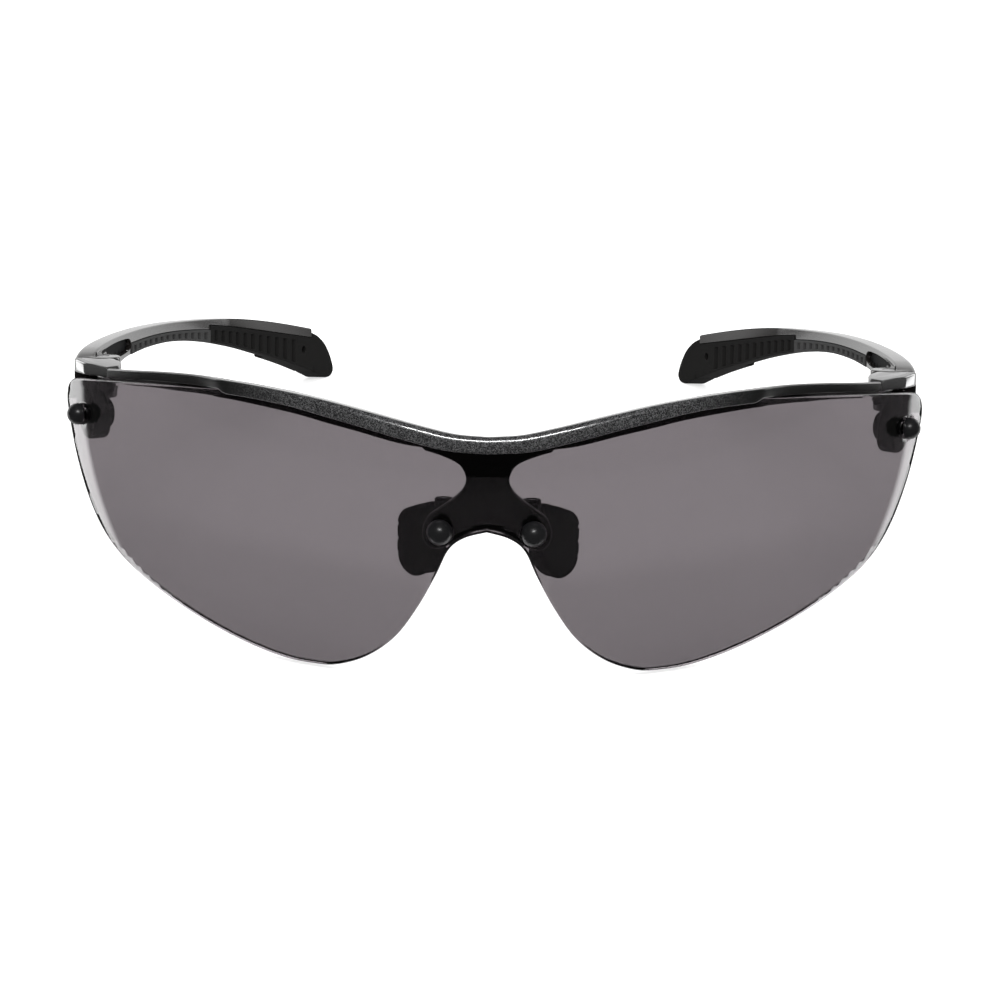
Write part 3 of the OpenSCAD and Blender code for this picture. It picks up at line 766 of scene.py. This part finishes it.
def pocket():
    """Side-view outline of the moulded pocket behind the hinge, anticlockwise."""
    outline = [(50.5, -0.3), (56, 0.05), (64, 0.15), (70.2, -0.3), (69.8, -2.2), (60, -2.65),
               (52.5, -2.1)]
    return curve(outline, 5, closed=True)[::-1]


def painted_pocket_shade():
    """Dull near-black sheet on that pocket's floor: painted shade in the recess."""
    return slab([inset(pocket(), 0.1)], on_temple(INNER + 0.75, -1), 0.5, 0.1, 0.8)[0]


def arm_shape():
    """The hard arm, with its pocket and the hinge's two ears."""
    rings = [arm_ring(y, False) for y in spread(TEMPLE_TOP[0][0], LINER_START - 0.02, 0.9)]
    for start, end in ((LINER_START, TIP_START - 0.01), (TIP_START, SKIN_END - 0.01),
                       (SKIN_END + 0.01, ARM_END)):
        rings += [arm_ring(y, True) for y in spread(start, end, 1.0)]
    arm = skin(rings)
    hinge = (HINGE.x, HINGE.y)
    gap = prism(circle(TONGUE_R + 0.3, 64, hinge), EAR_GAP_BOTTOM, EAR_GAP_TOP, 0.02)
    hollow = slab([pocket()], on_temple(INNER + 1), 3, 0.3, 1.2)[0]
    arm = combined(arm, [hollow, gap], "DIFFERENCE")
    ears = []
    x, y = hinge
    for low, high in ((EAR_GAP_TOP, EAR_TOP), (EAR_BOTTOM, EAR_GAP_BOTTOM)):
        ears.append(prism(circle(EAR_R, 72, hinge), low, high, 0.4, 4))
        ears.append(prism([(x, y), (x + 2.4, y), (x + 2.4, y + 6.5), (x, y + 6.5)], low, high, 0.25))
    arm = combined(arm, ears, "UNION")
    bores = [prism(circle(SCREW_R + 0.02, 32, hinge), -10, 3, 0.02),
             prism(circle(SCREW_RECESS_R, 40, hinge), EAR_TOP - 0.65, 3, 0.02)]
    return combined(arm, bores, "DIFFERENCE")


def groove_profile(count, start, end):
    """(Y, depth) along a grooved face, with steep groove sides."""
    pitch = (end - start) / count
    out = []
    for i in range(count):
        middle = start + (i + 0.5) * pitch
        half = pitch * 0.2
        out += [(middle - half - 0.1, 0), (middle - half, 0.25), (middle - half + 0.08, 1),
                (middle, 1), (middle + half - 0.08, 1), (middle + half, 0.25), (middle + half + 0.1, 0)]
    return out


def soft_ring(y, outer, depth, rim):
    """Section of a soft liner or tip: its inner face is sunk in a groove, where depth
    is 1, below a smooth rim of that height."""
    top = joint_line(y) - 0.03
    bottom = height(TEMPLE_BOTTOM, y)
    inner = INNER - 0.2
    face = inner + depth * GROOVE_DEPTH
    corners = [(outer, bottom), (outer, top), (inner, top), (inner, top - rim), (face, top - rim - 0.12),
               (face, bottom + 0.5), (inner, bottom + 0.38), (inner, bottom)]
    cuts = [0.4 if outer > MID + 0.1 else 0.1, 0.1, 0.2, 0.08, 0.02, 0.02, 0.08, 0.3]
    return [in_temple(y, r, z) for r, z in rounded(corners, cuts, 3)]


def liner_shape():
    """The soft liner behind the arm's thin skin."""
    start, end = LINER_START + 0.05, TIP_START - 0.05
    grooves = groove_profile(LINER_GROOVES, start + 0.55, end - 0.55)
    profile = [(start, 0)] + grooves + [(end, 0)]
    return skin([soft_ring(y, MID, depth, 0.45) for y, depth in profile])


def tip_shape():
    """The soft tip: behind the skin at first, then the arm's whole outer face, and its
    rounded end with the cord hole."""
    start = TIP_START + 0.05
    profile = [(start, 0), (SKIN_END, 0), (SKIN_END + 0.02, 0)]
    profile = sorted(profile + groove_profile(TIP_GROOVES, start + 0.75, TIP_GROOVES_END))
    profile += [(y, 0) for y in spread(TIP_GROOVES_END + 0.5, ARM_END, 0.8)]
    front = skin([soft_ring(y, MID if y <= SKIN_END else OUTER, depth, 0.85)
                  for y, depth in profile])
    end = curve(TIP_END, 6)
    neck = [(146, height(TEMPLE_BOTTOM, 146) + 0.15), (146, -8.5), (ARM_END + 0.02, -8.6)]
    rear = slab([neck + end], on_temple(OUTER), TEMPLE_T + 0.2, 0.35, 0.8)[0]
    shape = combined(front, [rear], "UNION")
    y, z = CORD_HOLE
    slope = asin((y - TEMPLE_C[1]) / TEMPLE_R)
    hole = moved(prism(circle(0.7, 32), -4, 4, 0.1),
                 Matrix.Translation(in_temple(y, TEMPLE_R, z)) @ Matrix.Rotation(slope, 4, "Z")
                 @ Matrix.Rotation(pi / 2, 4, "Y"))
    return combined(shape, [hole], "DIFFERENCE")


# --- Building ---------------------------------------------------------------------------
def build():
    """Makes all the pieces; the right side's are the left side's mirrored."""
    m = make_materials()
    piece("lens_shield", lens_shape(), m["smoke"], "front", ["lens"], crease=180)
    piece("brow_bar_body", bar_shape(), m["paint"], "front", ["brow_bar"], crease=50)
    plate, rim = bridge_plate()
    # The plate's rim faces get the lighter grey of a painted highlight on its bevel.
    piece("bridge_plate", plate, m["nylon"], "front", ["nose_bridge"],
          rim_material=m["edge"], rim_faces=rim)
    piece("bridge_barrels", bridge_back(), m["nylon"], "front")
    shapes = [
        ("nose_stud", stud_shape(*NOSE_STUD, 4.2), "stud", "front", "satin_black_stud", "stud_dome"),
        ("side_stud", stud_shape(*SIDE_STUD, 5.2), "stud", "front", "satin_black_stud", "side_dome"),
        ("nose_pad", pad_shape(), "rubber", "pad", "soft_black_rubber", "pad_cushion"),
        ("end_piece", end_piece_shape(), "corner", "front", "gunmetal_frame", "corner_piece"),
        ("temple_arm", arm_shape(), "arm", "temple", "gloss_black_arm", "arm_shell"),
        # The pocket's dull black sheet is painted shade in the recess behind the hinge.
        ("pocket", painted_pocket_shade(), "rubber", "temple", "gloss_black_arm", "painted_pocket_shade"),
        ("temple_liner", liner_shape(), "liner", "temple", "soft_black_rubber", "liner_ribs"),
        ("temple_tip", tip_shape(), "tip", "temple", "soft_black_rubber", "tip_ribs"),
    ]
    for side in SIDES:
        for node, shape, material, body, slot, name in shapes:
            body = body if body == "front" else f"{body}_{side}"
            replaces = [f"{node}_{side}"] if f"{node}_{side}" in frame["nodes"] else []
            piece(f"{name}_{side}", shape, m[material], body, replaces, side == "right")
        for node, material in (("hinge_screw", "steel"), ("nose_pad_arm", "steel"),
                               ("hinge_washer", "washer")):
            mesh = frame["nodes"][f"{node}_{side}"].data
            mesh.materials.clear()
            mesh.materials.append(m[material])


# --- Stage, light and camera ----------------------------------------------------------------
def make_floor():
    """Pale floor that glossy surfaces don't mirror; its glow weakens the shadows on it."""
    mesh = bpy.data.meshes.new("floor")
    size = 12
    corners = [(-size, -size, 0), (size, -size, 0), (size, size, 0), (-size, size, 0)]
    mesh.from_pydata(corners, [], [(0, 1, 2, 3)])
    mesh.materials.append(principled("pale_floor", (0.45, 0.45, 0.45), 0.9, Specular_IOR_Level=0.1,
                                     Emission_Color=(1, 1, 1, 1), Emission_Strength=0.65))
    floor = bpy.data.objects.new("floor", mesh)
    floor.visible_glossy = False
    bpy.context.scene.collection.objects.link(floor)


# What glossy surfaces see, as (degrees away from straight behind, brightness):
# a white backdrop, a dark gap, a bright softbox at each side, and a dark room.
# Overhead it is dark too. The softboxes lean inwards towards their tops.
STUDIO = [(0, 1.0), (33, 1.0), (36, 0.03), (43, 0.03), (45, 4.0), (56, 4.0), (58.5, 0.05), (180, 0.03)]
SOFTBOX_LEAN = 0.5
CEILING_FADE = (0.35, 0.6)


def make_world():
    """White all round for the camera and the floor; STUDIO for reflections."""
    world = bpy.data.worlds.new("studio")
    bpy.context.scene.world = world
    world.use_nodes = True
    tree = world.node_tree
    nodes, links = tree.nodes, tree.links
    x, y, z = (axis_of(tree, "Generated", axis) for axis in "XYZ")
    turn = calculate(tree, "ARCTAN2", calculate(tree, "ABSOLUTE", x), y)
    turn = calculate(tree, "MULTIPLY_ADD", z, SOFTBOX_LEAN, turn)
    seen = nodes.new("ShaderNodeFloatCurve")
    links.new(calculate(tree, "DIVIDE", turn, pi), seen.inputs["Value"])
    line = seen.mapping.curves[0]
    brightest = max(value for _, value in STUDIO)
    while len(line.points) < len(STUDIO):
        line.points.new(0.5, 0.5)
    for point, (degrees_away, value) in zip(line.points, STUDIO):
        point.location = (degrees_away / 180, value / brightest)
        point.handle_type = "VECTOR"
    seen.mapping.update()
    ceiling = fade(tree, z, *CEILING_FADE, brightest, 0.05)
    path = nodes.new("ShaderNodeLightPath")
    mix = nodes.new("ShaderNodeMix")
    mix.data_type = "FLOAT"
    links.new(path.outputs["Is Glossy Ray"], mix.inputs[0])
    mix.inputs[2].default_value = 1.0
    links.new(calculate(tree, "MULTIPLY", seen.outputs[0], ceiling), mix.inputs[3])
    links.new(mix.outputs[0], nodes["Background"].inputs["Strength"])
    nodes["Background"].inputs["Color"].default_value = (1, 1, 1, 1)


def add_light(name, place, target, size, power, shines):
    """An area light; shines tells whether glossy surfaces mirror it."""
    data = bpy.data.lights.new(name, "AREA")
    data.shape = "RECTANGLE"
    data.size, data.size_y = size
    data.energy = power
    light = bpy.data.objects.new(name, data)
    light.location = place
    light.rotation_euler = (Vector(target) - Vector(place)).to_track_quat("-Z", "Y").to_euler()
    light.visible_glossy = shines
    bpy.context.scene.collection.objects.link(light)


def make_camera():
    """The camera looks at the lens from the front, a little from the left and from above."""
    place = STAND @ Vector((12.41, -592.5, 78.36))
    target = STAND @ Vector((0, 0, -15.5))
    data = bpy.data.cameras.new("camera")
    data.lens = 139.6
    data.sensor_width = 36
    data.shift_x = 0.0079
    data.clip_start = 0.01
    camera = bpy.data.objects.new("camera", data)
    facing = (target - place).to_track_quat("-Z", "Y").to_matrix().to_4x4()
    roll = Matrix.Rotation(radians(0.57), 4, "Z")
    camera.matrix_world = Matrix.Translation(place) @ facing @ roll
    bpy.context.scene.collection.objects.link(camera)
    bpy.context.scene.camera = camera


build()
make_floor()
make_world()
add_light("top_softbox", (0, 0.15, 0.9), (0, 0, 0), (0.8, 0.8), 8, False)
add_light("front_strip", (0, -0.55, 0.55), (0, -0.06, 0.04), (0.3, 0.025), 3.5, True)
make_camera()
bpy.context.scene.view_settings.view_transform = "Standard"

bpy.context.view_layer.update()
